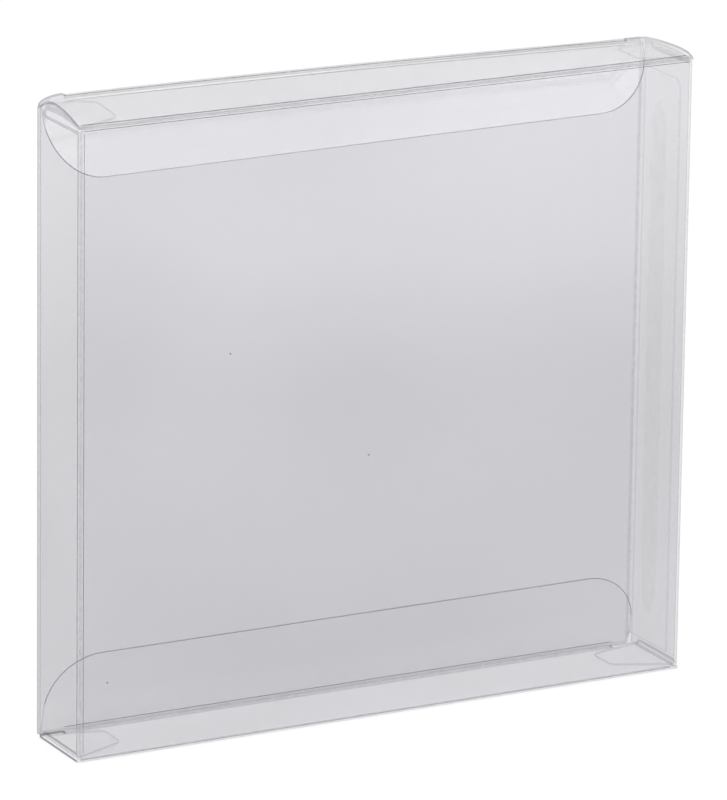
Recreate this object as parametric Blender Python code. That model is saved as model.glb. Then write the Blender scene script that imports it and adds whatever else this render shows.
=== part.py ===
# Clear folding box for a boxed game: one sheet of PET film, creased, folded and glued at one corner.
# The sleeve's four walls carry four dust flaps and the glue flap, and two tuck lids hinge on the front wall.
# Frame: +X to the right, +Y to the back wall, +Z up, origin at the middle of the underside.

import math

import bmesh
import bpy
from mathutils import Matrix, Vector

MM = 0.001

# Driving dimensions, in metres. The three outer sizes are over the closed box.
WIDTH = 133.0 * MM
DEPTH = 19.0 * MM
HEIGHT = 126.0 * MM
SHEET = 0.5 * MM
FOLD_INSIDE_RADIUS = 0.3 * MM
GAP = 0.3 * MM  # between a lid and what it lies on or turns past
PANEL_BOW = 1.0 * MM  # how far the middle of each broad wall springs outwards

# Glue flap: it hinges on the back wall and is glued inside the right wall.
GLUE_FLAP_LENGTH = 15.5 * MM
GLUE_FLAP_TOP_SETBACK = 5.5 * MM
GLUE_FLAP_BOTTOM_SETBACK = 2.7 * MM
GLUE_FLAP_CORNER_RADIUS = 2.0 * MM
GLUE_THICKNESS = 0.1 * MM
GLUE_LINE_WIDTH = 6.0 * MM
GLUE_LINE_SETBACK = 6.0 * MM  # from each end of the glue flap
SEAM_SETBACK = 1.2 * MM  # from the back face to the right wall's cut edge
BACK_EDGE_SETBACK = 0.1 * MM  # the back wall's cut edges stop just short of the lids' outer faces

# Dust flaps: tapered, and folded in under the lids. Offsets are from the outer front and back faces.
TOP_DUST_LENGTH = 10.0 * MM
BOTTOM_DUST_LENGTH = 12.0 * MM
TOP_DUST_FRONT_TAPER = 4.3 * MM
BOTTOM_DUST_FRONT_TAPER = 6.0 * MM
DUST_REAR_TAPER = 5.5 * MM
DUST_FRONT_OFFSET = 1.3 * MM
DUST_REAR_OFFSET = 3.2 * MM
DUST_CORNER_RADIUS = 1.2 * MM

# Lids and their tuck flaps. A tuck flap's length is from its fold's outer side.
LID_SIDE_INSET = 0.3 * MM
LID_CORNER_RADIUS = 1.5 * MM
TUCK_SLACK = 0.44 * MM  # between the tuck fold and the back wall
TUCK_LENGTH = 15.0 * MM
TUCK_CORNER_RADIUS = 10.0 * MM
TUCK_SIDE_INSET = 1.4 * MM
SLIT_LENGTH = 5.4 * MM  # cut into the fold from each side of a lid
TOP_TUCK_LEAN = math.radians(20.0)  # how far a tuck flap leans in from upright
BOTTOM_TUCK_LEAN = math.radians(10.0)

# Fineness of the faceted folds, walls and round corners.
FOLD_STEPS = 6
WALL_STEPS = 12
CORNER_STEPS = 8

# Worked out from the sizes above.
FOLD_RADIUS = FOLD_INSIDE_RADIUS + SHEET  # outer side of a fold
MID_RADIUS = FOLD_RADIUS - SHEET / 2
DUST_DEPTH = SHEET + GAP  # from a lid's outer face down to the dust flaps' outer face
SIDE_EDGE = DUST_DEPTH + FOLD_RADIUS  # where the side walls' straight part ends
HALF_CREASE = math.pi / 4  # each lid meets the front wall half way round the crease
HINGE_Y = -DEPTH / 2 + FOLD_RADIUS - MID_RADIUS * math.sin(HALF_CREASE)
HINGE_DEPTH = FOLD_RADIUS - MID_RADIUS * math.cos(HALF_CREASE)
FRONT_EDGE = HINGE_DEPTH + SHEET / 2 + GAP
GLUE_FACE_X = WIDTH / 2 - SHEET - GLUE_THICKNESS  # outer face of the glue flap
TUCK_FOLD_Y = DEPTH / 2 - SHEET - TUCK_SLACK - FOLD_RADIUS  # where the tuck fold starts to bend
LID_HALF_WIDTH = WIDTH / 2 - LID_SIDE_INSET
SLIT_X = LID_HALF_WIDTH - SLIT_LENGTH
TUCK_HALF_WIDTH = WIDTH / 2 - TUCK_SIDE_INSET


def clear_scene():
    for item in list(bpy.data.objects):
        bpy.data.objects.remove(item, do_unlink=True)


def clear_film(name):
    # Clear PET film with a faint grey tint.
    material = bpy.data.materials.new(name)
    material.use_nodes = True
    shader = material.node_tree.nodes["Principled BSDF"]
    shader.inputs["Base Color"].default_value = (0.78, 0.78, 0.81, 1.0)
    shader.inputs["Roughness"].default_value = 0.06
    shader.inputs["Metallic"].default_value = 0.0
    shader.inputs["IOR"].default_value = 1.57
    shader.inputs["Transmission Weight"].default_value = 0.9
    return material


def arc(centre, radius, start, end, steps):
    # Points on a circle from one angle to another, both included.
    turns = [start + (end - start) * i / steps for i in range(steps + 1)]
    return [(centre[0] + radius * math.cos(a), centre[1] + radius * math.sin(a)) for a in turns]


def between(first, last, steps):
    return [first + (last - first) * i / steps for i in range(steps + 1)]


def add_object(name, bm, material, origin=(0.0, 0.0, 0.0), parent=None):
    # Makes an object from a mesh in world coordinates, with its own origin.
    bmesh.ops.remove_doubles(bm, verts=bm.verts, dist=0.001 * MM)
    bmesh.ops.recalc_face_normals(bm, faces=bm.faces)
    bmesh.ops.transform(bm, matrix=Matrix.Translation(-Vector(origin)), verts=bm.verts)
    mesh = bpy.data.meshes.new(name)
    bm.to_mesh(mesh)
    bm.free()
    mesh.materials.append(material)
    item = bpy.data.objects.new(name, mesh)
    bpy.context.scene.collection.objects.link(item)
    item.location = origin
    if parent is not None:
        item.parent = parent
        item.location = Vector(origin) - parent.location
    return item


def thicken(item):
    # Gives the folded middle surface the sheet's thickness, half to each side.
    solid = item.modifiers.new("sheet thickness", "SOLIDIFY")
    solid.thickness = SHEET
    solid.offset = 0.0
    solid.use_even_offset = True
    solid.use_quality_normals = True
    solid.use_rim = True


def round_corners(bm, corners, radius, steps):
    bmesh.ops.bevel(
        bm,
        geom=corners,
        offset=radius,
        offset_type="OFFSET",
        segments=steps,
        profile=0.5,
        affect="VERTICES",
    )


def sleeve_perimeter():
    # The sheet's middle line seen from above, from the right wall's cut edge to the glue flap's free edge.
    # Each panel has a name, its points and how far its ends lie in from the top and the bottom.
    half_w = WIDTH / 2
    half_d = DEPTH / 2
    front = -half_d + FOLD_RADIUS
    back = half_d - FOLD_RADIUS
    left = -half_w + FOLD_RADIUS
    right = half_w - FOLD_RADIUS
    glue_fold = GLUE_FACE_X - FOLD_RADIUS
    dust_front = -half_d + DUST_FRONT_OFFSET
    dust_rear = half_d - DUST_REAR_OFFSET
    mid_x = half_w - SHEET / 2
    mid_y = half_d - SHEET / 2
    glue_x = GLUE_FACE_X - SHEET / 2
    quarter = math.pi / 2
    side = (SIDE_EDGE, SIDE_EDGE)
    hinged = (FRONT_EDGE, FRONT_EDGE)
    cut = (BACK_EDGE_SETBACK, BACK_EDGE_SETBACK)
    glue = (GLUE_FLAP_TOP_SETBACK, GLUE_FLAP_BOTTOM_SETBACK)
    right_wall = [half_d - SEAM_SETBACK, dust_rear, dust_front, front]
    left_wall = [front, dust_front, dust_rear, back]
    glue_end = half_d - GLUE_FLAP_LENGTH
    return [
        ("right_wall", [(mid_x, y) for y in right_wall], side),
        ("fold", arc((right, front), MID_RADIUS, 0.0, -quarter, FOLD_STEPS), side),
        ("front_wall", [(x, -mid_y) for x in between(right, left, WALL_STEPS)], hinged),
        ("fold", arc((left, front), MID_RADIUS, -quarter, -2 * quarter, FOLD_STEPS), side),
        ("left_wall", [(-mid_x, y) for y in left_wall], side),
        ("fold", arc((left, back), MID_RADIUS, 2 * quarter, quarter, FOLD_STEPS), side),
        ("back_wall", [(x, mid_y) for x in between(left, glue_fold, WALL_STEPS)], cut),
        ("fold", arc((glue_fold, back), MID_RADIUS, quarter, 0.0, FOLD_STEPS), glue),
        ("glue_flap", [(glue_x, back), (glue_x, glue_end)], glue),
    ]


def sleeve_levels():
    # Heights at which some panel ends, with even steps between the glue flap's ends.
    low = GLUE_FLAP_BOTTOM_SETBACK
    high = HEIGHT - GLUE_FLAP_TOP_SETBACK
    setbacks = (BACK_EDGE_SETBACK, FRONT_EDGE, SIDE_EDGE)
    ends = set(setbacks) | {HEIGHT - setback for setback in setbacks}
    return sorted(ends | set(between(low, high, WALL_STEPS)))


def bowed(x, y, z, ends):
    # A broad wall domes outwards between its creases, which stay straight.
    share = (x - ends[0]) / (ends[1] - ends[0])
    across = 4.0 * share * (1.0 - share)
    along = 1.0 - (2.0 * z / HEIGHT - 1.0) ** 2
    return y + math.copysign(PANEL_BOW * across * along, y)


def add_walls(bm):
    # The walls, the creases between them and the glue flap, as one strip.
    levels = sleeve_levels()
    tiny = 0.01 * MM
    for name, points, (top, bottom) in sleeve_perimeter():
        heights = [z for z in levels if bottom - tiny <= z <= HEIGHT - top + tiny]
        broad = name in ("front_wall", "back_wall")
        ends = (points[0][0], points[-1][0])
        grid = []
        for x, y in points:
            grid.append([bm.verts.new((x, bowed(x, y, z, ends) if broad else y, z)) for z in heights])
        for this, after in zip(grid, grid[1:]):
            for j in range(len(heights) - 1):
                bm.faces.new((this[j], after[j], after[j + 1], this[j + 1]))


def add_dust_flap(bm, side, length, front_taper, place):
    # side is +1 on the right wall and -1 on the left. place turns x, y and a depth below the lid into a point.
    centre_x = WIDTH / 2 - FOLD_RADIUS
    front = -DEPTH / 2 + DUST_FRONT_OFFSET
    rear = DEPTH / 2 - DUST_REAR_OFFSET
    path = arc((centre_x, SIDE_EDGE), MID_RADIUS, 0.0, -math.pi / 2, FOLD_STEPS)
    rows = [(x, depth, front, rear) for x, depth in path]
    end_x = WIDTH / 2 - length
    end_front = -DEPTH / 2 + front_taper
    end_rear = DEPTH / 2 - DUST_REAR_TAPER
    rows.append((end_x, path[-1][1], end_front, end_rear))
    made = []
    for x, depth, low, high in rows:
        made.append((bm.verts.new(place(side * x, low, depth)), bm.verts.new(place(side * x, high, depth))))
    for this, after in zip(made, made[1:]):
        bm.faces.new((this[0], after[0], after[1], this[1]))
    return made[-1]


def at_top(x, y, depth):
    return Vector((x, y, HEIGHT - depth))


def at_bottom(x, y, depth):
    return Vector((x, y, depth))


def glue_line():
    # The bead of glue that joins the glue flap to the right wall, sunk a little into both.
    sink = GLUE_THICKNESS / 2
    low_z = GLUE_FLAP_BOTTOM_SETBACK + GLUE_LINE_SETBACK
    high_z = HEIGHT - GLUE_FLAP_TOP_SETBACK - GLUE_LINE_SETBACK
    middle_y = DEPTH / 2 - GLUE_FLAP_LENGTH / 2
    bm = bmesh.new()
    size = (GLUE_THICKNESS + 2 * sink, GLUE_LINE_WIDTH, high_z - low_z)
    middle = (GLUE_FACE_X + GLUE_THICKNESS / 2, middle_y, (low_z + high_z) / 2)
    bmesh.ops.create_cube(bm, size=1.0, matrix=Matrix.Translation(middle) @ Matrix.Diagonal((*size, 1.0)))
    bead = add_object("glue_line", bm, clear_film("glue"))
    bead.hide_render = True
    bead.display_type = "WIRE"
    return bead


def sleeve():
    bm = bmesh.new()
    add_walls(bm)
    free_corners = []
    for side in (1, -1):
        free_corners += add_dust_flap(bm, side, TOP_DUST_LENGTH, TOP_DUST_FRONT_TAPER, at_top)
        free_corners += add_dust_flap(bm, side, BOTTOM_DUST_LENGTH, BOTTOM_DUST_FRONT_TAPER, at_bottom)
    round_corners(bm, free_corners, DUST_CORNER_RADIUS, CORNER_STEPS // 2)
    glue_end = DEPTH / 2 - GLUE_FLAP_LENGTH
    glue_corner = Vector((GLUE_FACE_X - SHEET / 2, glue_end, HEIGHT - GLUE_FLAP_TOP_SETBACK))
    near = min(bm.verts, key=lambda v: (v.co - glue_corner).length)
    round_corners(bm, [near], GLUE_FLAP_CORNER_RADIUS, CORNER_STEPS // 2)
    item = add_object("sleeve", bm, clear_film("clear PET film, sleeve"))
    thicken(item)
    join = item.modifiers.new("glued seam", "BOOLEAN")
    join.operation = "UNION"
    join.solver = "EXACT"
    join.object = glue_line()
    return item


def tuck_arc(start, end, steps):
    # Stretch of a tuck fold as y and depth. Angle 0 is where the lid starts to bend down.
    return [
        (TUCK_FOLD_Y + MID_RADIUS * math.sin(a), FOLD_RADIUS - MID_RADIUS * math.cos(a))
        for a in between(start, end, steps)
    ]


def strip(bm, rows, place):
    # Rows hold a half width and a path point. Each pair of rows is joined by one face.
    made = []
    for half, (y, depth) in rows:
        made.append((bm.verts.new(place(-half, y, depth)), bm.verts.new(place(half, y, depth))))
    for this, after in zip(made, made[1:]):
        bm.faces.new((this[0], this[1], after[1], after[0]))
    return made


def lid(name, place, lean):
    # From the middle of the front crease, over the opening, to the middle of the tuck fold.
    bm = bmesh.new()
    crease = [
        (-DEPTH / 2 + FOLD_RADIUS - MID_RADIUS * math.sin(a), FOLD_RADIUS - MID_RADIUS * math.cos(a))
        for a in between(HALF_CREASE, 0.0, FOLD_STEPS // 2)
    ]
    front = strip(bm, [(LID_HALF_WIDTH, point) for point in crease], place)[-1]
    half_turn = (math.pi / 2 + lean) / 2
    fold = strip(bm, [(SLIT_X, point) for point in tuck_arc(0.0, half_turn, FOLD_STEPS // 2)], place)[0]
    ears = [bm.verts.new(place(side * LID_HALF_WIDTH, TUCK_FOLD_Y, SHEET / 2)) for side in (-1, 1)]
    bm.faces.new((front[0], front[1], ears[1], fold[1], fold[0], ears[0]))
    round_corners(bm, ears, LID_CORNER_RADIUS, CORNER_STEPS // 2)
    item = add_object(name, bm, clear_film(f"clear PET film, {name}"), place(0.0, HINGE_Y, HINGE_DEPTH))
    thicken(item)
    return item


def tuck_flap(name, place, lean, carrier):
    # The rest of the tuck fold and the flap that slides in behind it, with two round corners.
    bm = bmesh.new()
    turn = math.pi / 2 + lean
    half_turn = turn / 2
    start = half_turn + GAP / MID_RADIUS
    fold = strip(bm, [(SLIT_X, point) for point in tuck_arc(start, turn, FOLD_STEPS // 2)], place)[-1]
    top_y, top_depth = tuck_arc(turn, turn, 1)[0]
    reach = TUCK_LENGTH - FOLD_RADIUS
    end_y = top_y - reach * math.sin(lean)
    end_depth = top_depth + reach * math.cos(lean)
    shoulders = [bm.verts.new(place(side * TUCK_HALF_WIDTH, top_y, top_depth)) for side in (-1, 1)]
    ends = [bm.verts.new(place(side * TUCK_HALF_WIDTH, end_y, end_depth)) for side in (-1, 1)]
    bm.faces.new((shoulders[0], fold[0], fold[1], shoulders[1], ends[1], ends[0]))
    round_corners(bm, ends, TUCK_CORNER_RADIUS, CORNER_STEPS)
    axis_y, axis_depth = tuck_arc(half_turn, half_turn, 1)[0]
    origin = place(0.0, axis_y, axis_depth)
    item = add_object(name, bm, clear_film(f"clear PET film, {name}"), origin, carrier)
    thicken(item)
    return item


def build():
    clear_scene()
    sleeve()
    top_lid = lid("top_lid", at_top, TOP_TUCK_LEAN)
    tuck_flap("top_tuck_flap", at_top, TOP_TUCK_LEAN, top_lid)
    bottom_lid = lid("bottom_lid", at_bottom, BOTTOM_TUCK_LEAN)
    tuck_flap("bottom_tuck_flap", at_bottom, BOTTOM_TUCK_LEAN, bottom_lid)


build()
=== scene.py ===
import math

import bmesh
import bpy
from mathutils import Matrix, Vector


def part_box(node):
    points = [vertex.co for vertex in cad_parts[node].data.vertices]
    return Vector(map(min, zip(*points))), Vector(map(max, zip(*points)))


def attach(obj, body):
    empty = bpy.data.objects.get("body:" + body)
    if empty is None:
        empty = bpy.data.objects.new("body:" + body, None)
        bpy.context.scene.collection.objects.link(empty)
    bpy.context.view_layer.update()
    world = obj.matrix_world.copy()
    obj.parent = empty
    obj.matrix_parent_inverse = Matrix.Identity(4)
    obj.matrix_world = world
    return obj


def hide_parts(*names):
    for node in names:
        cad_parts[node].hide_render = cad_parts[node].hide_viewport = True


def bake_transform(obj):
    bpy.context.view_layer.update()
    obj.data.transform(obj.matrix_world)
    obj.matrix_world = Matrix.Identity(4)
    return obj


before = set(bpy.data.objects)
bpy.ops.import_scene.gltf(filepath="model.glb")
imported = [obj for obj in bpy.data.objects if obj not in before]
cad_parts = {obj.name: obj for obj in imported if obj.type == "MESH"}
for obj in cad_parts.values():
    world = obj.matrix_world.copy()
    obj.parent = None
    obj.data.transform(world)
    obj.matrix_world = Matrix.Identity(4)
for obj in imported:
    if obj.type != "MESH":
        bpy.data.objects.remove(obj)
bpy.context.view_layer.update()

# Clear folding box for a boxed game: one sheet of PET film with a tuck lid at the top and at the bottom.
# +X runs to the right along the broad walls, +Y to the back wall, +Z up. Lengths are in metres.
mm = 0.001
quarterTurn = math.pi / 2
sharpAngle = math.radians(35)  # a bend over this angle shows as an edge
weldGap = 0.002 * mm
hair = 0.01 * mm  # points closer than this count as one

# The box as a whole. Its outer size comes from the frame, and the rest is the sheet and its folds.
box = {
    "bow": 1.0 * mm,  # how far the middle of each broad wall springs outwards
    "film": 0.5 * mm,
    "foldInside": 0.3 * mm,
    "flapGap": 0.1 * mm,  # between a lid and the dust flaps under it
    "creaseGap": 0.02 * mm,  # hairline between the parts of the sheet that turn on each other
    "foldSteps": 10,
    "wallSteps": 56,
}
sleeveLow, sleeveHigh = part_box("sleeve")
width = sleeveHigh.x - sleeveLow.x
depth = sleeveHigh.y - sleeveLow.y - 2 * box["bow"]
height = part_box("top_lid")[1].z
foldRadius = box["foldInside"] + box["film"]  # outer radius of a fold
midRadius = foldRadius - box["film"] / 2  # radius of the middle of its film
dustDepth = box["film"] + box["flapGap"]  # from a lid's outer face to the dust flaps' outer faces
sideEdge = dustDepth + foldRadius  # from a lid's outer face to where a side wall's fold begins


def hexColour(text, share=1.0):
    # sRGB hex to linear. A share of 0.5 gives one face's tint, where a sheet's two faces make the colour.
    parts = [int(text[i:i + 2], 16) / 255 for i in (1, 3, 5)]
    linear = [c / 12.92 if c <= 0.04045 else ((c + 0.055) / 1.055) ** 2.4 for c in parts]
    return (*[c ** share for c in linear], 1.0)


def addNode(tree, kind, settings=None, inputs=None):
    # Adds a node. Each input is a value or the socket that feeds it.
    node = tree.nodes.new(kind)
    for key, value in (settings or {}).items():
        setattr(node, key, value)
    for key, value in (inputs or {}).items():
        if isinstance(value, bpy.types.NodeSocket):
            tree.links.new(value, node.inputs[key])
        else:
            node.inputs[key].default_value = value
    return node


# Each film's tone is what one whole sheet lets through, seen straight on.
wallLook = {
    "tone": "#F0F0F2",
    "faceShare": 0.5,  # how much of the tone each face of the sheet takes
    "mirror": 0.065,  # PET of IOR 1.57 mirrors 0.05 of what meets it head on
    "grazing": 0.5,  # how much of a clean sheet's extra shine at a low angle is left
    "roughness": 0.05,
    "haze": 0.015,
    "patchMm": 45.0,  # faint cloudy patches that extruded film has
    "patchDepth": 0.02,
    "waveMm": 55.0,
    "waveDepthMm": 0.12,
}
# The other panels are the same film. Each has its own tone and more or less of a mirror image on it, set to
# how bright that panel reads: painted light and shade, not a different film.
lidLook = {**wallLook, "tone": "#F2F2F3", "mirror": 0.05, "grazing": 0.9}
bottomLidLook = {**lidLook, "tone": "#FCFCFD", "grazing": 0.4}
sideWallLook = {**wallLook, "tone": "#F4F4F5", "mirror": 0.04, "grazing": 0.25}
flapLook = {
    **wallLook, "tone": "#FFFFFF", "mirror": 0.006, "grazing": 0.1, "haze": 0.001, "patchDepth": 0.004
}
topTuckLook = {**flapLook, "mirror": 0.05}
# Film that a creasing rule pressed: slightly whitened and rougher, with fine marks along it. The real marks
# are finer than a pixel, so they are drawn at 0.8 mm. Its grey is partly that whitening and partly painted
# shade for the dark bands that a bent clear sheet shows.
creaseLook = {
    "tone": "#E6E6E8",
    "faceShare": 0.5,
    "mirror": 0.045,
    "grazing": 0.4,
    "roughness": 0.18,
    "haze": 0.08,
    "patchMm": 0.8,
    "patchDepth": 0.08,
    "waveMm": 0.8,
    "waveDepthMm": 0.03,
}
# Each crease's grey is set on its own, darker or lighter: painted shade.
hingeCreaseLook = {**creaseLook, "tone": "#CBCBCE", "grazing": 0.6}
bottomCreaseLook = {**creaseLook, "tone": "#ECECEE", "grazing": 0.2, "haze": 0.04}
sideCreaseLook = {**creaseLook, "tone": "#BEBEC2"}
dustCreaseLook = {**creaseLook, "tone": "#D8D8DC"}
tuckCreaseLook = {**creaseLook, "tone": "#F0F0F2", "haze": 0.02, "grazing": 0.15}
# A sheared edge sends its light out elsewhere, so its darker tone is painted shade, with a dull grain from the
# cutting rule. Where it catches the light, its pale tone is a painted highlight instead.
edgeLook = {**creaseLook, "tone": "#C6C6CB", "faceShare": 1.0, "mirror": 0.0, "haze": 0.10, "patchMm": 0.3}
darkEdgeLook = {**edgeLook, "tone": "#A3A2A3"}
paleEdgeLook = {**edgeLook, "tone": "#F2F2F4", "haze": 0.06}
litEdgeLook = {**edgeLook, "tone": "#FAFAFB", "haze": 0.06}
# Thin dark lines of painted shade, swept along folds, slits and cut edges where the bent clear sheet shows a
# dark line.
darkShadeLineLook = {**edgeLook, "tone": "#8A8A90", "haze": 0.05}
faintShadeLineLook = {**darkShadeLineLook, "tone": "#B9B9BE"}
midShadeLineLook = {**darkShadeLineLook, "tone": "#A6A6AB"}
# Glue that has set clear: it wets both sheets and shows as a faint cloud with a soft outline.
glueLook = {**edgeLook, "tone": "#FEFEFE", "haze": 0.004, "patchMm": 3.0, "patchDepth": 0.02}
speckLook = {**edgeLook, "tone": "#6E6E72", "haze": 0.2}  # house dust: small dull dark grains
hazeTone = "#F2F2F5"  # what the film's slight milkiness scatters
noiseRange = (0.3, 0.7)  # the noise seldom leaves it
grazingPower = 5.0  # how steeply the shine rises towards a low angle


def clearPet(name, look):
    # Extruded clear PET film: glossy and barely tinted. The eye sees what lies behind it, a little darker,
    # and a mirror image on top that is strongest at a low angle and bends with the film's long waves.
    material = bpy.data.materials.new(name)
    material.use_nodes = True
    tree = material.node_tree
    tree.nodes.clear()
    place = addNode(tree, "ShaderNodeTexCoord").outputs["Object"]
    patch = addNode(
        tree, "ShaderNodeTexNoise", inputs={"Vector": place, "Scale": 1000 / look["patchMm"], "Detail": 1.0}
    ).outputs["Fac"]
    shade = addNode(
        tree, "ShaderNodeMapRange",
        inputs={0: patch, 1: noiseRange[0], 2: noiseRange[1], 3: 1 - look["patchDepth"], 4: 1.0},
    ).outputs[0]
    tint = addNode(
        tree, "ShaderNodeMix", {"data_type": "RGBA", "blend_type": "MULTIPLY"},
        {"Factor": 1.0, 6: hexColour(look["tone"], look["faceShare"]), 7: shade},
    ).outputs[2]
    wave = addNode(
        tree, "ShaderNodeTexNoise", inputs={"Vector": place, "Scale": 1000 / look["waveMm"], "Detail": 0.0}
    ).outputs["Fac"]
    normal = addNode(
        tree, "ShaderNodeBump", inputs={"Strength": 1.0, "Distance": look["waveDepthMm"] * mm, "Height": wave}
    ).outputs[0]
    clear = addNode(tree, "ShaderNodeBsdfTransparent", inputs={"Color": tint}).outputs[0]
    haze = addNode(tree, "ShaderNodeBsdfDiffuse", inputs={"Color": hexColour(hazeTone)}).outputs[0]
    surface = addNode(tree, "ShaderNodeMixShader", inputs={0: look["haze"], 1: clear, 2: haze}).outputs[0]
    if look["mirror"]:
        facing = addNode(
            tree, "ShaderNodeLayerWeight", inputs={"Blend": 0.5, "Normal": normal}
        ).outputs["Facing"]
        steep = addNode(
            tree, "ShaderNodeMath", {"operation": "POWER"}, {0: facing, 1: grazingPower}
        ).outputs[0]
        mirror = addNode(
            tree, "ShaderNodeMath", {"operation": "MULTIPLY_ADD"},
            {0: steep, 1: (1 - look["mirror"]) * look["grazing"], 2: look["mirror"]},
        ).outputs[0]
        gloss = addNode(
            tree, "ShaderNodeBsdfGlossy", inputs={"Roughness": look["roughness"], "Normal": normal}
        ).outputs[0]
        surface = addNode(tree, "ShaderNodeMixShader", inputs={0: mirror, 1: surface, 2: gloss}).outputs[0]
    addNode(tree, "ShaderNodeOutputMaterial", inputs={"Surface": surface})
    return material


wallFilm = clearPet("clearPetWalls", wallLook)
lidFilm = clearPet("clearPetTopLid", lidLook)
bottomLidFilm = clearPet("clearPetBottomLid", bottomLidLook)
sideWallFilm = clearPet("clearPetSideWalls", sideWallLook)
flapFilm = clearPet("clearPetFlaps", flapLook)
creaseFilm = clearPet("shadedScoredPet", creaseLook)
hingeCreaseFilm = clearPet("shadedScoredPetAtTopHinge", hingeCreaseLook)
bottomCreaseFilm = clearPet("shadedScoredPetAtBottomHinge", bottomCreaseLook)
sideCreaseFilm = clearPet("shadedScoredPetAtRear", sideCreaseLook)
dustCreaseFilm = clearPet("shadedScoredPetAtDustFlaps", dustCreaseLook)
tuckCreaseFilm = clearPet("shadedScoredPetAtTucks", tuckCreaseLook)
edgeFilm = clearPet("paintedLightDieCutPetEdge", edgeLook)
darkEdgeFilm = clearPet("paintedLightDieCutPetEdgeDark", darkEdgeLook)
paleEdgeFilm = clearPet("paintedLightDieCutPetEdgePale", paleEdgeLook)
litEdgeFilm = clearPet("paintedLightDieCutPetEdgeLit", litEdgeLook)
darkShadeLineFilm = clearPet("paintedShadeLine", darkShadeLineLook)
faintShadeLineFilm = clearPet("paintedShadeLineFaint", faintShadeLineLook)
midShadeLineFilm = clearPet("paintedShadeLineMid", midShadeLineLook)
topTuckFilm = clearPet("clearPetTopTuck", topTuckLook)
setGlue = clearPet("setClearGlue", glueLook)
houseDust = clearPet("dustSpecks", speckLook)
print("materials made")


def between(first, last, steps):
    return [first + (last - first) * i / steps for i in range(steps + 1)]


def arcPoints(centre, radius, start, end, steps):
    angles = between(start, end, steps)
    return [(centre[0] + radius * math.cos(a), centre[1] + radius * math.sin(a)) for a in angles]


def addGrid(bm, grid, slot):
    # Quads over rows of points. The slot is the film's place in the piece's list of materials.
    made = [[bm.verts.new(point) for point in row] for row in grid]
    for this, after in zip(made, made[1:]):
        for j in range(len(this) - 1):
            face = bm.faces.new((this[j], after[j], after[j + 1], this[j + 1]))
            face.material_index = slot


def filmSlots(films):
    # "films" has, for each part of a piece, its film and its cut edge's film, which comes next in the list.
    return {part: 2 * i for i, part in enumerate(films)}


def finishSheet(name, bm, films):
    # Gives the folded middle surface its thickness.
    bmesh.ops.remove_doubles(bm, verts=bm.verts, dist=weldGap)
    bmesh.ops.recalc_face_normals(bm, faces=bm.faces)
    mesh = bpy.data.meshes.new(name)
    bm.to_mesh(mesh)
    bm.free()
    for film, edge in films.values():
        mesh.materials.append(film)
        mesh.materials.append(edge)
    piece = bpy.data.objects.new(name, mesh)
    bpy.context.scene.collection.objects.link(piece)
    solid = piece.modifiers.new("film thickness", "SOLIDIFY")
    solid.thickness = box["film"]
    solid.offset = 0.0
    solid.use_even_offset = True
    solid.use_quality_normals = True
    solid.material_offset_rim = 1
    flattened = bpy.data.meshes.new_from_object(piece.evaluated_get(bpy.context.evaluated_depsgraph_get()))
    piece.modifiers.clear()
    piece.data = flattened
    flattened.name = name
    flattened.shade_smooth()
    flattened.set_sharp_from_angle(angle=sharpAngle)
    return piece


glueFlap = {
    "length": 15.5 * mm,
    "topSetback": 5.5 * mm,
    "bottomSetback": 2.7 * mm,
    "cornerRadius": 2.0 * mm,
    "cornerSteps": 6,
    "glue": 0.1 * mm,  # thickness of the gap that the glue fills
    "seamSetback": 0.7 * mm,  # from the back face to the right wall's cut edge
    "glueWidth": 6.0 * mm,
    "glueSetback": 6.0 * mm,
}
dustFlaps = {
    "topLength": 10.0 * mm,
    "bottomLength": 12.0 * mm,
    "topFrontTaper": 4.3 * mm,
    "bottomFrontTaper": 6.0 * mm,
    "rearTaper": 5.5 * mm,
    "frontOffset": 1.3 * mm,
    "rearOffset": 3.2 * mm,
    "cornerRadius": 1.2 * mm,
    "cornerSteps": 6,
    "rows": 8,
}
# The rim and crease films here carry painted shade, and the pale ones a painted highlight.
sleeveFilms = {
    "back": (wallFilm, paleEdgeFilm),
    "fold": (creaseFilm, paleEdgeFilm),
    "wall": (sideWallFilm, paleEdgeFilm),
    "flap": (flapFilm, litEdgeFilm),
    "rearFold": (sideCreaseFilm, paleEdgeFilm),
    "front": (wallFilm, flapFilm),
    "dustFold": (dustCreaseFilm, paleEdgeFilm),
    "dustFlap": (flapFilm, paleEdgeFilm),
}
sleeveSlots = filmSlots(sleeveFilms)
cutSetback = 0.1 * mm  # the back wall's cut edges stop just short of the lids' outer faces
cornerSetback = box["film"] + 0.1 * mm  # and the side walls' rear corners just short of their inner faces


def atTop(x, y, down):
    return Vector((x, y, height - down))


def atBottom(x, y, down):
    return Vector((x, y, down))


def bowed(x, y, z, ends):
    # A broad wall springs outwards, most in its middle and not at all at its edges.
    share = (x - ends[0]) / (ends[1] - ends[0])
    across = 4 * share * (1 - share)
    along = 1 - (2 * z / height - 1) ** 2
    return y + math.copysign(box["bow"] * across * along, y)


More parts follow.
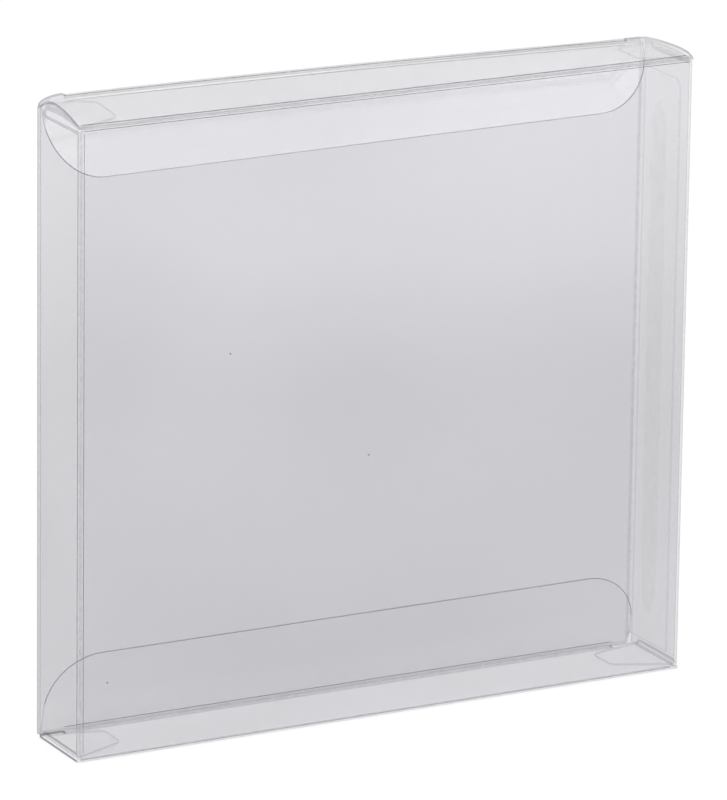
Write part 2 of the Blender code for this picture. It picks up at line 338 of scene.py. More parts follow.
def sleevePanels():
    # The sheet seen from above, from the right wall's cut edge round to the glue flap's free edge.
    # Each panel has its points and how far its ends lie in from the top and the bottom. A fold has this for
    # the panels on both its sides.
    left, right = -width / 2 + foldRadius, width / 2 - foldRadius
    front, back = -depth / 2 + foldRadius, depth / 2 - foldRadius
    midX, midY = width / 2 - box["film"] / 2, depth / 2 - box["film"] / 2
    glueFace = width / 2 - box["film"] - glueFlap["glue"]
    glueX, glueFold = glueFace - box["film"] / 2, glueFace - foldRadius
    dustFront, dustRear = -depth / 2 + dustFlaps["frontOffset"], depth / 2 - dustFlaps["rearOffset"]
    steps = box["foldSteps"]
    side = (sideEdge, sideEdge)
    corner = (cornerSetback, cornerSetback)
    hinged = (foldRadius, foldRadius)
    cut = (cutSetback, cutSetback)
    glue = (glueFlap["topSetback"], glueFlap["bottomSetback"])
    seam = depth / 2 - glueFlap["seamSetback"]
    glueEnd = depth / 2 - glueFlap["length"]
    return [
        ("wall", [(midX, y) for y in (seam, dustRear)], corner),
        ("wall", [(midX, y) for y in (dustRear, dustFront, front)], side),
        ("fold", arcPoints((right, front), midRadius, 0, -quarterTurn, steps), (side, hinged)),
        ("front", [(x, -midY) for x in between(right, left, box["wallSteps"])], hinged),
        ("fold", arcPoints((left, front), midRadius, -quarterTurn, -2 * quarterTurn, steps), (hinged, side)),
        ("wall", [(-midX, y) for y in (front, dustFront, dustRear)], side),
        ("wall", [(-midX, y) for y in (dustRear, back)], corner),
        ("rearFold", arcPoints((left, back), midRadius, 2 * quarterTurn, quarterTurn, steps), (corner, cut)),
        ("back", [(x, midY) for x in between(left, glueFold, box["wallSteps"])], cut),
        ("fold", arcPoints((glueFold, back), midRadius, quarterTurn, 0, steps), (cut, glue)),
        ("flap", [(glueX, back), (glueX, glueEnd)], glue),
    ]


def sleeveLevels():
    low, high = glueFlap["bottomSetback"], height - glueFlap["topSetback"]
    setbacks = (cutSetback, cornerSetback, foldRadius, sideEdge)
    ends = [z for setback in setbacks for z in (setback, height - setback)]
    return sorted({round(z, 7) for z in ends + between(low, high, box["wallSteps"])})


def foldHeights(levels, first, last, share):
    # A fold's cut ends run in a curve from one panel's end to the next panel's.
    heights = []
    for z in levels:
        shortTop, shortBottom = height - max(first[0], last[0]), max(first[1], last[1])
        keepTop = share if first[0] > last[0] else 1 - share
        keepBottom = share if first[1] > last[1] else 1 - share
        if z > shortTop:
            heights.append(shortTop + (z - shortTop) * keepTop)
        elif z < shortBottom:
            heights.append(shortBottom + (z - shortBottom) * keepBottom)
        else:
            heights.append(z)
    return heights


def addWalls(bm):
    levels = sleeveLevels()
    for kind, points, setback in sleevePanels():
        isFold = kind in ("fold", "rearFold")
        first, last = setback if isFold else (setback, setback)
        top, bottom = min(first[0], last[0]), min(first[1], last[1])
        rows = [z for z in levels if bottom - hair <= z <= height - top + hair]
        ends = (points[0][0], points[-1][0])
        grid = []
        for (x, y), share in zip(points, between(0, 1, len(points) - 1)):
            if isFold:
                grid.append([(x, y, z) for z in foldHeights(rows, first, last, share)])
            elif kind in ("front", "back"):
                grid.append([(x, bowed(x, y, z, ends), z) for z in rows])
            else:
                grid.append([(x, y, z) for z in rows])
        addGrid(bm, grid, sleeveSlots[kind])


lids = {
    "sideInset": 0.1 * mm,
    "cornerRadius": 1.0 * mm,
    "freeRear": 0.9 * mm,  # from the back face to the lid's free corners beyond the slits
    "liftedRear": 0.3 * mm,  # the same at the lifted corner
    "slitGap": 0.2 * mm,
    "slack": 0.44 * mm,  # between the tuck fold and the back wall
    "slit": 5.4 * mm,
    "topLift": 1.9 * mm,  # how far the top lid springs up at its left rear
    "leftArch": 1.1 * mm,  # how far its left edge arches up, over "leftReach"
    "leftReach": 8.0 * mm,
    "cornerDrop": 1.8 * mm,  # how far the free corner beyond the slit droops again, over "dropReach"
    "dropReach": 1.9 * mm,
    "dropPower": 6,  # a high one keeps the droop to the corner
    "rightArch": 0.9 * mm,
    "rightReach": 12.0 * mm,
    "columns": 44,
    "cornerColumns": 8,
    "rows": 14,
    "cornerRows": 8,
}
# Each flap's edge, cut line and fold line films are painted shade, or a painted highlight where pale.
tucks = {
    "corner": 11.5 * mm,
    "leftInset": 0.6 * mm,
    "rightInset": 1.4 * mm,  # clear of the glue flap
    "top": {
        "lean": math.radians(20.0),
        "length": 15.0 * mm,
        "shorter": 1.1 * mm,  # at the right end
        "film": topTuckFilm,
        "edge": edgeFilm,
        "cutLine": midShadeLineFilm,
        "foldLine": darkShadeLineFilm,
    },
    "bottom": {
        "lean": math.radians(12.0),
        "length": 16.8 * mm,
        "shorter": 0.0,
        "film": flapFilm,
        "edge": paleEdgeFilm,
        "cutLine": faintShadeLineFilm,
        "foldLine": midShadeLineFilm,
    },
    "columns": 40,
    "cornerColumns": 14,
    "rows": 12,
}
hingeY = -depth / 2 + foldRadius
tuckFoldY = depth / 2 - box["film"] - lids["slack"] - foldRadius
lidHalf = width / 2 - lids["sideInset"]
slitX = lidHalf - lids["slit"]
tuckLeft, tuckRight = -width / 2 + tucks["leftInset"], width / 2 - tucks["rightInset"]


def atTopLid(x, y, down):
    # The film springs up at the left rear. The lift fades to the hinge, to the right and down the tuck flap.
    # Each side edge arches a little, and the free corner beyond the left slit droops back to the wall.
    back = min(max((y - hingeY) / (tuckFoldY - hingeY), 0), 1)
    up = min(max(1 - down / tucks["top"]["length"], 0), 1)
    across = 1 - ((x + width / 2) / width) ** 2
    nearLeft = math.exp(-(x + width / 2) / lids["leftReach"])
    nearRight = math.exp((x - width / 2) / lids["rightReach"])
    nearCorner = math.exp(-(x + lidHalf) / lids["dropReach"])
    lift = lids["topLift"] * back * across
    lift += lids["leftArch"] * 4 * back * (1 - back) * nearLeft
    lift += lids["rightArch"] * 2 * math.sqrt(back) * (1 - back) * nearRight
    lift -= lids["cornerDrop"] * back ** lids["dropPower"] * nearCorner
    return atTop(x, y, down) + Vector((0, 0, lift * up))


def addDustFlap(bm, side, length, frontTaper, place, liftedPlace):
    # The fold at the end of a side wall and the tapered flap beyond it, which springs up with its lid.
    front, rear = -depth / 2 + dustFlaps["frontOffset"], depth / 2 - dustFlaps["rearOffset"]
    frontEnd, rearEnd = -depth / 2 + frontTaper, depth / 2 - dustFlaps["rearTaper"]
    rows, steps = dustFlaps["rows"], box["foldSteps"]
    path = arcPoints((width / 2 - foldRadius, sideEdge), midRadius, 0, -quarterTurn, steps)
    grid = []
    for (x, down), share in zip(path, between(0, 1, steps)):
        ys = between(front, rear, rows)
        grid.append([place(side * x, y, down).lerp(liftedPlace(side * x, y, down), share) for y in ys])
    half = steps // 2  # the pressed mark, with its grey of painted shade, covers the fold's half next to the flap
    addGrid(bm, grid[:half + 1], sleeveSlots["wall"])
    addGrid(bm, grid[half:], sleeveSlots["dustFold"])
    foldX, down = path[-1]
    radius = dustFlaps["cornerRadius"]
    span = foldX - (width / 2 - length)
    reaches = [(s, 0.0) for s in between(0, span - radius, rows)[:-1]]
    for a in between(0, quarterTurn, dustFlaps["cornerSteps"]):
        reaches.append((span - radius + radius * math.sin(a), radius * (1 - math.cos(a))))
    grid = []
    for reach, shrink in reaches:
        share = reach / span
        first = front + (frontEnd - front) * share + shrink
        last = rear + (rearEnd - rear) * share - shrink
        grid.append([liftedPlace(side * (foldX - reach), y, down) for y in between(first, last, rows)])
    addGrid(bm, grid, sleeveSlots["dustFlap"])


def makeSleeve():
    bm = bmesh.new()
    addWalls(bm)
    for side in (1, -1):
        addDustFlap(bm, side, dustFlaps["topLength"], dustFlaps["topFrontTaper"], atTop, atTopLid)
        addDustFlap(bm, side, dustFlaps["bottomLength"], dustFlaps["bottomFrontTaper"], atBottom, atBottom)
    glueX = width / 2 - box["film"] - glueFlap["glue"] - box["film"] / 2
    corner = Vector((glueX, depth / 2 - glueFlap["length"], height - glueFlap["topSetback"]))
    near = min(bm.verts, key=lambda v: (v.co - corner).length)
    bmesh.ops.bevel(
        bm, geom=[near], offset=glueFlap["cornerRadius"], offset_type="OFFSET",
        segments=glueFlap["cornerSteps"], profile=0.5, affect="VERTICES",
    )
    return finishSheet("sleeveFilm", bm, sleeveFilms)


sleeve = makeSleeve()
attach(sleeve, "sleeve")
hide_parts("sleeve")
print("sleeve made")


def tuckFold(angle):
    # A point of a tuck fold's middle line, as y and as depth below the lid's outer face. The angle is 0 at the
    # lid, and a quarter turn and the lean at the flap.
    return tuckFoldY + midRadius * math.sin(angle), foldRadius - midRadius * math.cos(angle)


def frontFold(angle):
    # A point of a front crease's middle line: the angle is 0 at the lid and a quarter turn at the front wall.
    return hingeY - midRadius * math.sin(angle), foldRadius - midRadius * math.cos(angle)


def lidSide(y, rear):
    # Half the lid's width at this depth, with its rounded corner.
    radius = lids["cornerRadius"]
    over = min(max(y - (rear - radius), 0.0), radius)
    return lidHalf - radius + math.sqrt(radius ** 2 - over ** 2)


def makeLid(name, place, rears, films):
    # The front crease and the lid. Its corners beyond the slits are free, and reach further back than the
    # fold: "rears" has the left one's end and the right one's.
    bm = bmesh.new()
    slots = filmSlots(films)
    inner = between(-slitX, slitX, lids["columns"])
    outer = between(lidHalf, slitX, lids["cornerColumns"])
    lowEnd = quarterTurn - box["creaseGap"] / midRadius
    crease = [frontFold(a) for a in between(lowEnd, 0, box["foldSteps"])]
    columns = [-x for x in outer[:-1]] + inner + outer[:-1][::-1]
    addGrid(bm, [[place(x, y, down) for x in columns] for y, down in crease], slots["crease"])
    rows = between(hingeY, tuckFoldY, lids["rows"])
    middle = box["film"] / 2
    addGrid(bm, [[place(x, y, middle) for x in inner] for y in rows[:-1]], slots["lid"])
    addGrid(bm, [[place(x, y, middle) for x in inner] for y in rows[-2:]], slots["beforeTuck"])
    for side, rear in zip((-1, 1), rears):
        free = rows + between(tuckFoldY, rear, lids["cornerRows"])[1:]
        grid = []
        for y in free:
            slit = slitX + (lids["slitGap"] if y > tuckFoldY else 0)
            ends = between(lidSide(y, rear), slit, lids["cornerColumns"])
            grid.append([place(side * x, y, middle) for x in ends])
        addGrid(bm, grid, slots["rightSide"] if side > 0 else slots["lid"])
    piece = finishSheet(name, bm, films)
    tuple(place(0, *crease[0]))
    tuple(place(0, *crease[-1]))
    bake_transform(piece)
    return piece


def tuckReach(x, flap):
    # How far the tuck flap reaches beyond its fold at this x, with its round corners.
    radius = tucks["corner"]
    over = min(max(tuckLeft + radius - x, x - tuckRight + radius, 0.0), radius)
    length = flap["length"] - flap["shorter"] * (x - tuckLeft) / (tuckRight - tuckLeft)
    return length - foldRadius - radius + math.sqrt(radius ** 2 - over ** 2)


def tuckColumns(inset, steps, turns):
    # The x of a row of points along the flap, closer together round its corners.
    radius = tucks["corner"]
    corner = [(radius - inset) * math.sin(a) for a in turns]
    low, high = tuckLeft + radius, tuckRight - radius
    return [low - c for c in corner[::-1]] + between(low, high, steps)[1:-1] + [high + c for c in corner]


def onTuck(place, lean, x, reach):
    y, down = tuckFold(quarterTurn + lean)
    return place(x, y - reach * math.sin(lean), down + reach * math.cos(lean))


def makeTuck(name, place, flap):
    # The tuck fold and the flap that goes down inside the back wall.
    bm = bmesh.new()
    lean = flap["lean"]
    columns = tuckColumns(0.0, tucks["columns"], between(0, quarterTurn, tucks["cornerColumns"]))
    xs = sorted({round(x, 7) for x in columns + [-slitX, slitX]})
    firstTurn = box["creaseGap"] / midRadius
    path = [tuckFold(a) for a in between(firstTurn, quarterTurn + lean, box["foldSteps"])]
    folded = [x for x in xs if abs(x) <= slitX + hair]
    films = {"flap": (flap["film"], flap["edge"]), "fold": (tuckCreaseFilm, tuckCreaseFilm)}
    slots = filmSlots(films)
    addGrid(bm, [[place(x, y, down) for x in folded] for y, down in path], slots["fold"])
    grid = []
    for x in xs:
        reaches = between(0, tuckReach(x, flap), tucks["rows"])
        grid.append([onTuck(place, lean, x, reach) for reach in reaches])
    addGrid(bm, grid, slots["flap"])
    piece = finishSheet(name, bm, films)
    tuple(place(0, *path[0]))
    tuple(place(0, *path[-1]))
    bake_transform(piece)
    return piece


def makeEnd(label, place, rears, films):
    lid = makeLid(label + "LidFilm", place, rears, films)
    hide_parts(label + "_lid")
    tuck = makeTuck(label + "TuckFilm", place, tucks[label])
    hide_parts(label + "_tuck_flap")


freeRear = depth / 2 - lids["freeRear"]
topRears = (depth / 2 - lids["liftedRear"], freeRear)
# The lids' crease and cut-edge films carry painted shade, and the pale ones a painted highlight.
topFilms = {
    "lid": (lidFilm, edgeFilm),
    "crease": (hingeCreaseFilm, hingeCreaseFilm),
    "beforeTuck": (lidFilm, flapFilm),
    "rightSide": (lidFilm, edgeFilm),
}
bottomFilms = {
    "lid": (bottomLidFilm, darkEdgeFilm),
    "crease": (bottomCreaseFilm, bottomCreaseFilm),
    "beforeTuck": (bottomLidFilm, flapFilm),
    "rightSide": (bottomLidFilm, paleEdgeFilm),
}
makeEnd("top", atTopLid, topRears, topFilms)
makeEnd("bottom", atBottom, (freeRear, freeRear), bottomFilms)
print("lids and tuck flaps made")

shadeLines = {
    "radius": 0.055 * mm,
    "sides": 6,
    "beside": 0.35 * mm,  # from the end of a bend to the line of painted shade beside it
    "steps": 40,
    "straightSteps": 4,
    "roundShare": 0.95,  # how much of a tuck flap's corner its cut line follows
}


def pathGroup():
    # Geometry Nodes: sweeps a small circle along every edge of the base mesh.
    group = bpy.data.node_groups.new("sweptLine", "GeometryNodeTree")
    face = group.interface
    face.new_socket("Geometry", in_out="INPUT", socket_type="NodeSocketGeometry")
    radius = face.new_socket("Radius", in_out="INPUT", socket_type="NodeSocketFloat")
    sides = face.new_socket("Sides", in_out="INPUT", socket_type="NodeSocketInt")
    material = face.new_socket("Material", in_out="INPUT", socket_type="NodeSocketMaterial")
    face.new_socket("Geometry", in_out="OUTPUT", socket_type="NodeSocketGeometry")
    start = addNode(group, "NodeGroupInput").outputs
    path = addNode(group, "GeometryNodeMeshToCurve", inputs={"Mesh": start["Geometry"]}).outputs["Curve"]
    ring = addNode(
        group, "GeometryNodeCurvePrimitiveCircle",
        inputs={"Radius": start["Radius"], "Resolution": start["Sides"]},
    ).outputs["Curve"]
    swept = addNode(
        group, "GeometryNodeCurveToMesh", inputs={"Curve": path, "Profile Curve": ring, "Fill Caps": True}
    ).outputs["Mesh"]
    whole = addNode(group, "GeometryNodeRealizeInstances", inputs={"Geometry": swept}).outputs["Geometry"]
    finished = addNode(
        group, "GeometryNodeSetMaterial", inputs={"Geometry": whole, "Material": start["Material"]}
    ).outputs["Geometry"]
    addNode(group, "NodeGroupOutput", inputs={"Geometry": finished})
    return group, {"radius": radius.identifier, "sides": sides.identifier, "material": material.identifier}


def bakeNodes(name, mesh, group, values, body):
    # Evaluates the node group on the base mesh and keeps the result as a plain mesh.
    piece = bpy.data.objects.new(name, mesh)
    bpy.context.scene.collection.objects.link(piece)
    modifier = piece.modifiers.new(name, "NODES")
    modifier.node_group = group
    for identifier, value in values.items():
        modifier[identifier] = value
    baked = bpy.data.meshes.new_from_object(piece.evaluated_get(bpy.context.evaluated_depsgraph_get()))
    piece.modifiers.clear()
    piece.data = baked
    baked.name = name
    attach(piece, body)


sweptLine, lineInputs = pathGroup()


def makeLines(name, paths, material, body):
    # One piece from several paths of points. A line lies inside the film, where it shows from both sides.
    mesh = bpy.data.meshes.new(name)
    points = [tuple(point) for path in paths for point in path]
    edges, first = [], 0
    for path in paths:
        edges += [(first + i, first + i + 1) for i in range(len(path) - 1)]
        first += len(path)
    mesh.from_pydata(points, edges, [])
    values = {
        lineInputs["radius"]: shadeLines["radius"],
        lineInputs["sides"]: shadeLines["sides"],
        lineInputs["material"]: material,
    }
    bakeNodes(name, mesh, sweptLine, values, body)


def upright(x, y):
    low = sideEdge + shadeLines["beside"]
    return [Vector((x, y, z)) for z in between(low, height - low, shadeLines["straightSteps"])]


def sleeveLines():
    # The lines of painted shade that show on the walls, for the dark lines of the bends: below the top front
    # crease, on both sides of the front left one, and beside the dust flaps' folds.
    beside, steps = shadeLines["beside"], shadeLines["straightSteps"]
    wallY = -depth / 2 + box["film"] / 2
    wallX = width / 2 - box["film"] / 2
    alongX = foldRadius + beside
    reach = width / 2 - alongX
    paths = [[Vector((x, wallY, height - alongX)) for x in between(-reach, reach, steps)]]
    paths.append(upright(-width / 2 + alongX, wallY))
    paths.append(upright(-wallX, -depth / 2 + alongX))
    front, rear = -depth / 2 + dustFlaps["frontOffset"], depth / 2 - dustFlaps["rearOffset"]
    for side in (-1, 1):
        for z in (sideEdge + beside, height - sideEdge - beside):
            paths.append([Vector((side * wallX, y, z)) for y in (front, rear)])
    return paths


def lidLines(place, tuckLine):
    # Lines of painted shade beside the hinge crease, beside the tuck fold where that one shows, and along both
    # slits.
    middle = box["film"] / 2
    reach = lidHalf - lids["cornerRadius"]
    steps = shadeLines["steps"]
    slit = slitX + lids["slitGap"] / 2
    paths = [[place(x, hingeY + shadeLines["beside"], middle) for x in between(-reach, reach, steps)]]
    if tuckLine:
        paths.append([place(x, tuckFoldY - shadeLines["beside"], middle) for x in between(-slitX, slitX, steps)])
    for side in (-1, 1):
        ys = between(tuckFoldY - box["film"], freeRear, shadeLines["straightSteps"])
        paths.append([place(side * slit, y, middle) for y in ys])
    return paths


def tuckFoldLine(place, flap):
    xs = between(-slitX, slitX, shadeLines["steps"])
    return [onTuck(place, flap["lean"], x, shadeLines["beside"]) for x in xs]


def tuckCutLine(place, flap):
    # The cut edge, drawn as a thin dark line of painted shade.
    inset = 2 * shadeLines["radius"]
    turns = between(0, quarterTurn * shadeLines["roundShare"], tucks["cornerColumns"])
    xs = tuckColumns(inset, shadeLines["steps"], turns)
    return [onTuck(place, flap["lean"], x, tuckReach(x, flap) - inset) for x in xs]


makeLines("sleeveShadeLines", sleeveLines(), faintShadeLineFilm, "sleeve")
for label, place, lidShadeLine in (("top", atTopLid, darkShadeLineFilm), ("bottom", atBottom, faintShadeLineFilm)):
    makeLines(label + "LidShadeLines", lidLines(place, label == "top"), lidShadeLine, label + "_lid")
    flap = tucks[label]
    makeLines(label + "TuckShadeLine", [tuckFoldLine(place, flap)], flap["foldLine"], label + "_tuck")
    makeLines(label + "TuckCutShadeLine", [tuckCutLine(place, flap)], flap["cutLine"], label + "_tuck")
print("painted shade lines made")

glueBead = {
    "thickness": 0.06 * mm,
    "length": 105.8 * mm,
    "offCentre": 0.75 * mm,  # how far it lies from the middle of its strip, towards the flap's free edge
    "waver": 0.35 * mm,  # how far the bead's sides wander
    "waverTurns": (0.9, 2.3),  # the two waves in it, in radians a row
    "endPower": 16,  # a high one keeps the rounding to the bead's ends
    "endShare": 0.2,  # how much of its width is left at the very ends
    "rows": 60,
    "columns": 6,
}


def makeGlue():
    # The line of clear glue between the glue flap and the right wall, squeezed to a wavering strip.
    x = width / 2 - box["film"] - glueFlap["glue"] / 2
    freeEdge = depth / 2 - glueFlap["length"]
    middleY = freeEdge + glueFlap["glueSetback"] + glueFlap["glueWidth"] / 2 - glueBead["offCentre"]
    middleZ = height / 2 + (glueFlap["bottomSetback"] - glueFlap["topSetback"]) / 2
    slowTurn, fastTurn = glueBead["waverTurns"]
    bm = bmesh.new()
    grid = []
    for i, share in enumerate(between(0, 1, glueBead["rows"])):
        z = middleZ + glueBead["length"] * (share - 0.5)
        wander = glueBead["waver"] * (math.sin(i * slowTurn) + math.sin(i * fastTurn + 1)) / 2
        roundEnd = math.sqrt(max(1 - (2 * share - 1) ** glueBead["endPower"], glueBead["endShare"] ** 2))
        half = (glueFlap["glueWidth"] / 2 + wander) * roundEnd
        grid.append([(x, middleY + half * across, z) for across in between(-1, 1, glueBead["columns"])])
    addGrid(bm, grid, 0)
    bmesh.ops.recalc_face_normals(bm, faces=bm.faces)
    mesh = bpy.data.meshes.new("glueBead")
    bm.to_mesh(mesh)
    bm.free()
    mesh.materials.append(setGlue)
    bead = bpy.data.objects.new("glueBead", mesh)
    bpy.context.scene.collection.objects.link(bead)
    solid = bead.modifiers.new("bead", "SOLIDIFY")
    solid.thickness = glueBead["thickness"]
    solid.offset = 0.0
    bead.data = bpy.data.meshes.new_from_object(bead.evaluated_get(bpy.context.evaluated_depsgraph_get()))
    bead.modifiers.clear()
    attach(bead, "sleeve")


makeGlue()
print("glue bead made")

specks = {
    "size": 0.2 * mm,  # half the width of a middling one
    "seen": ((-34.8, 78.1), (-60.4, 15.6), (-4.8, 54.2)),  # x and z in mm of those that show in the photo
    "seed": 11,
    "flatness": 0.25,
    "smallest": (0.5, 1.0, 0.5),
    "largest": (1.6, 1.0, 1.2),
}


def speckGroup():
    # Geometry Nodes: a small flat grain on every point of the base mesh, each turned and stretched by chance.
    group = bpy.data.node_groups.new("scatteredSpecks", "GeometryNodeTree")
    face = group.interface
    face.new_socket("Geometry", in_out="INPUT", socket_type="NodeSocketGeometry")
    size = face.new_socket("Size", in_out="INPUT", socket_type="NodeSocketFloat")
    seed = face.new_socket("Seed", in_out="INPUT", socket_type="NodeSocketInt")
    flatness = face.new_socket("Flatness", in_out="INPUT", socket_type="NodeSocketFloat")
    material = face.new_socket("Material", in_out="INPUT", socket_type="NodeSocketMaterial")
    face.new_socket("Geometry", in_out="OUTPUT", socket_type="NodeSocketGeometry")
    start = addNode(group, "NodeGroupInput").outputs
    points = addNode(group, "GeometryNodeMeshToPoints", inputs={"Mesh": start["Geometry"]}).outputs["Points"]
    grain = addNode(
        group, "GeometryNodeMeshIcoSphere", inputs={"Radius": start["Size"], "Subdivisions": 1}
    ).outputs["Mesh"]
    spin = addNode(
        group, "FunctionNodeRandomValue", {"data_type": "FLOAT_VECTOR"},
        {0: (0.0, 0.0, 0.0), 1: (0.0, 4 * quarterTurn, 0.0), "Seed": start["Seed"]},
    ).outputs[0]
    stretch = addNode(
        group, "FunctionNodeRandomValue", {"data_type": "FLOAT_VECTOR"},
        {0: specks["smallest"], 1: specks["largest"], "Seed": start["Seed"]},
    ).outputs[0]
    flat = addNode(group, "ShaderNodeCombineXYZ", inputs={0: 1.0, 1: start["Flatness"], 2: 1.0}).outputs[0]
    scale = addNode(
        group, "ShaderNodeVectorMath", {"operation": "MULTIPLY"}, {0: stretch, 1: flat}
    ).outputs[0]
    placed = addNode(
        group, "GeometryNodeInstanceOnPoints",
        inputs={"Points": points, "Instance": grain, "Rotation": spin, "Scale": scale},
    ).outputs["Instances"]
    whole = addNode(group, "GeometryNodeRealizeInstances", inputs={"Geometry": placed}).outputs["Geometry"]
    finished = addNode(
        group, "GeometryNodeSetMaterial", inputs={"Geometry": whole, "Material": start["Material"]}
    ).outputs["Geometry"]
    addNode(group, "NodeGroupOutput", inputs={"Geometry": finished})
    values = {
        size.identifier: specks["size"],
        seed.identifier: specks["seed"],
        flatness.identifier: specks["flatness"],
        material.identifier: houseDust,
    }
    return group, values


def makeSpecks():
    # Specks of dust on the front wall.
    places = [(x * mm, z * mm) for x, z in specks["seen"]]
    ends = (width / 2 - foldRadius, foldRadius - width / 2)
    middle = -depth / 2 + box["film"] / 2
    mesh = bpy.data.meshes.new("surfaceSpecks")
    points = [(x, bowed(x, middle, z, ends) - box["film"] / 2, z) for x, z in places]
    mesh.from_pydata(points, [], [])
    group, values = speckGroup()
    bakeNodes("surfaceSpecks", mesh, group, values, "sleeve")


makeSpecks()
print("specks made")

white = (1.0, 1.0, 1.0, 1.0)
stage = {
    "floorSize": 6.0,
    "floorTone": "#E8E8EA",
    "seenTone": "#A2A2A4",  # the matt share of the floor as the eye sees it
    "glow": 0.70,  # white that the eye sees on top of it, so that it runs out to white with a faint shadow
    "mirrorShade": 0.2,  # painted shade: brightness of the floor close to the box, only as its walls mirror it
    "nearEdge": 0.25,  # how far from the box it starts to brighten
    "farEdge": 0.52,  # and how far out it is white
    "mirrorShadeTurn": (0.7, -1.0, 0.0),  # the painted shade in the mirror image runs askew to the box
    "ambient": 0.75,
    "keyPlace": (-0.9, -1.1, 1.5),
    "keySize": 1.4,
    "keyWatts": 14.0,
    "tuckPlace": (0.72, -1.33, 0.64),  # where the leaning top tuck flap mirrors it
    "tuckSize": 1.0,
    "tuckWatts": 7.0,
}


def addMaximum(tree, first, second):
    return addNode(tree, "ShaderNodeMath", {"operation": "MAXIMUM"}, {0: first, 1: second}).outputs[0]


def makeWorld():
    # White to the eye, also by a mirror or through a clear body, and soft light on things.
    world = bpy.data.worlds.new("whiteStudio")
    world.use_nodes = True
    tree = world.node_tree
    tree.nodes.clear()
    path = addNode(tree, "ShaderNodeLightPath").outputs
    seen = addMaximum(
        tree, addMaximum(tree, path["Is Camera Ray"], path["Is Glossy Ray"]), path["Is Transmission Ray"]
    )
    strength = addNode(
        tree, "ShaderNodeMapRange", inputs={0: seen, 1: 0.0, 2: 1.0, 3: stage["ambient"], 4: 1.0}
    ).outputs[0]
    light = addNode(tree, "ShaderNodeBackground", inputs={"Color": white, "Strength": strength}).outputs[0]
    addNode(tree, "ShaderNodeOutputWorld", inputs={"Surface": light})
    bpy.context.scene.world = world


def makeFloor():
    # Pale matt floor. What the eye sees of it has a glow added, so that it runs out to white and keeps its
    # shadow. In the walls' mirror image alone it is dimmer near the box and white further out: a painted
    # reflection of shade, which darkens the walls towards their bottom.
    material = bpy.data.materials.new("paleMattFloor")
    material.use_nodes = True
    tree = material.node_tree
    tree.nodes.clear()
    path = addNode(tree, "ShaderNodeLightPath").outputs
    seen = addMaximum(tree, path["Is Camera Ray"], path["Is Transmission Ray"])
    tone = addNode(
        tree, "ShaderNodeMix", {"data_type": "RGBA"},
        {"Factor": seen, 6: hexColour(stage["floorTone"]), 7: hexColour(stage["seenTone"])},
    ).outputs[2]
    matt = addNode(tree, "ShaderNodeBsdfDiffuse", inputs={"Color": tone}).outputs[0]
    glow = addNode(tree, "ShaderNodeMath", {"operation": "MULTIPLY"}, {0: seen, 1: stage["glow"]}).outputs[0]
    light = addNode(tree, "ShaderNodeEmission", inputs={"Color": white, "Strength": glow}).outputs[0]
    direct = addNode(tree, "ShaderNodeAddShader", inputs={0: matt, 1: light}).outputs[0]
    # Painted shade for the mirror image only: the floor's glow is dimmer close to the box and rises to white
    # further out.
    place = addNode(tree, "ShaderNodeTexCoord").outputs["Object"]
    forward = addNode(
        tree, "ShaderNodeVectorMath", {"operation": "DOT_PRODUCT"}, {0: place, 1: stage["mirrorShadeTurn"]}
    ).outputs["Value"]
    around = addNode(tree, "ShaderNodeVectorMath", {"operation": "LENGTH"}, {0: place}).outputs["Value"]
    away = addMaximum(tree, forward, around)
    rise = addNode(
        tree, "ShaderNodeMapRange", {"interpolation_type": "SMOOTHSTEP"},
        {0: away, 1: stage["nearEdge"], 2: stage["farEdge"], 3: stage["mirrorShade"], 4: 1.0},
    ).outputs[0]
    paintedMirrorShade = addNode(tree, "ShaderNodeEmission", inputs={"Color": white, "Strength": rise}).outputs[0]
    surface = addNode(
        tree, "ShaderNodeMixShader", inputs={0: path["Is Glossy Ray"], 1: direct, 2: paintedMirrorShade}
    ).outputs[0]
    addNode(tree, "ShaderNodeOutputMaterial", inputs={"Surface": surface})
    half = stage["floorSize"] / 2
    mesh = bpy.data.meshes.new("floor")
    corners = [(-half, -half, 0), (half, -half, 0), (half, half, 0), (-half, half, 0)]
    mesh.from_pydata(corners, [], [(0, 1, 2, 3)])
    mesh.materials.append(material)
    floor = bpy.data.objects.new("floor", mesh)
    bpy.context.scene.collection.objects.link(floor)


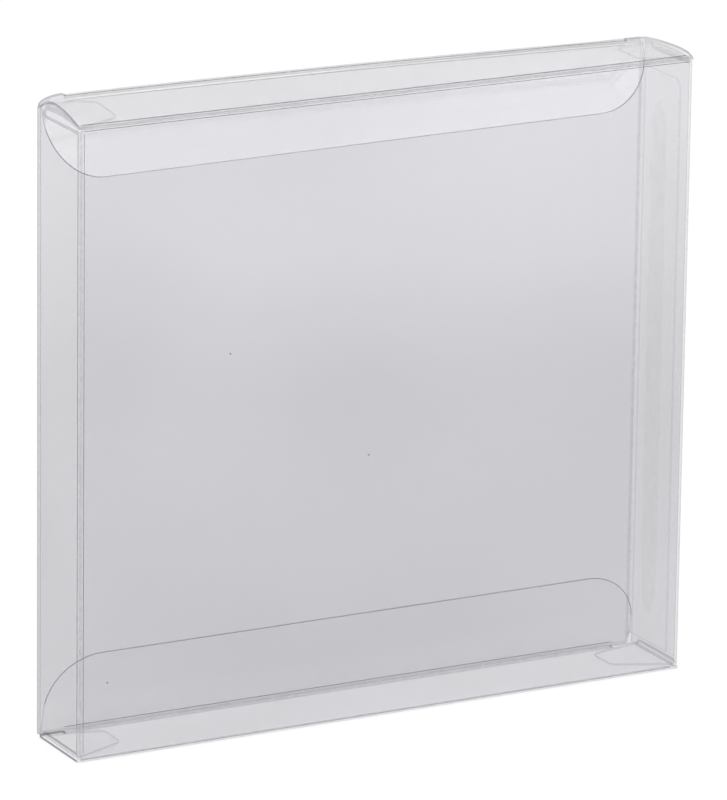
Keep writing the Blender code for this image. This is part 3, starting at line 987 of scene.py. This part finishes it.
def makeLamp(name, place, target, size, watts):
    lamp = bpy.data.lights.new(name, "AREA")
    lamp.shape = "SQUARE"
    lamp.size = size
    lamp.energy = watts
    item = bpy.data.objects.new(name, lamp)
    item.location = place
    item.rotation_euler = (Vector(target) - Vector(place)).to_track_quat("-Z", "Y").to_euler()
    bpy.context.scene.collection.objects.link(item)
    return item


makeWorld()
makeFloor()
makeLamp("keySoftbox", stage["keyPlace"], (0, 0, height / 2), stage["keySize"], stage["keyWatts"])
tuckLight = makeLamp("tuckSoftbox", stage["tuckPlace"], (0, 0, height), stage["tuckSize"], stage["tuckWatts"])
tuckLight.visible_diffuse = False  # it shows only in the film's gloss
tuckLight.visible_camera = False
print("stage made")

# The photograph's view, from a camera fitted to the box's corners. Lengths are in box heights.
eye = {
    "azimuth": math.radians(-28.087),
    "elevation": math.radians(16.33),
    "roll": math.radians(0.772),
    "distance": 11.412,
    "aside": -0.00359,  # how far it stands to the right of its line to the middle of the box
    "above": -0.00856,  # and above it
    "focalPixels": 7393.7,
    "imageHeight": 800,
    "sensor": 36.0,
}


def makeCamera():
    azimuth, elevation, roll = eye["azimuth"], eye["elevation"], eye["roll"]
    level = Vector((math.cos(azimuth), math.sin(azimuth), 0))
    away = Vector((math.sin(azimuth), -math.cos(azimuth), 0))
    back = away * math.cos(elevation) + Vector((0, 0, math.sin(elevation)))
    upright = back.cross(level)
    right = math.cos(roll) * level + math.sin(roll) * upright
    up = math.cos(roll) * upright - math.sin(roll) * level
    place = back * eye["distance"] + right * eye["aside"] + up * eye["above"]
    data = bpy.data.cameras.new("photoView")
    data.sensor_width = eye["sensor"]
    data.lens = eye["focalPixels"] * eye["sensor"] / eye["imageHeight"]
    camera = bpy.data.objects.new("photoView", data)
    turn = Matrix((right, up, back)).transposed().to_4x4()
    camera.matrix_world = Matrix.Translation(Vector((0, 0, height / 2)) + place * height) @ turn
    bpy.context.scene.collection.objects.link(camera)
    bpy.context.scene.camera = camera


makeCamera()
bpy.context.scene.view_settings.view_transform = "Standard"
bpy.context.scene.cycles.transparent_max_bounces = 32  # a look along the box meets many layers of film
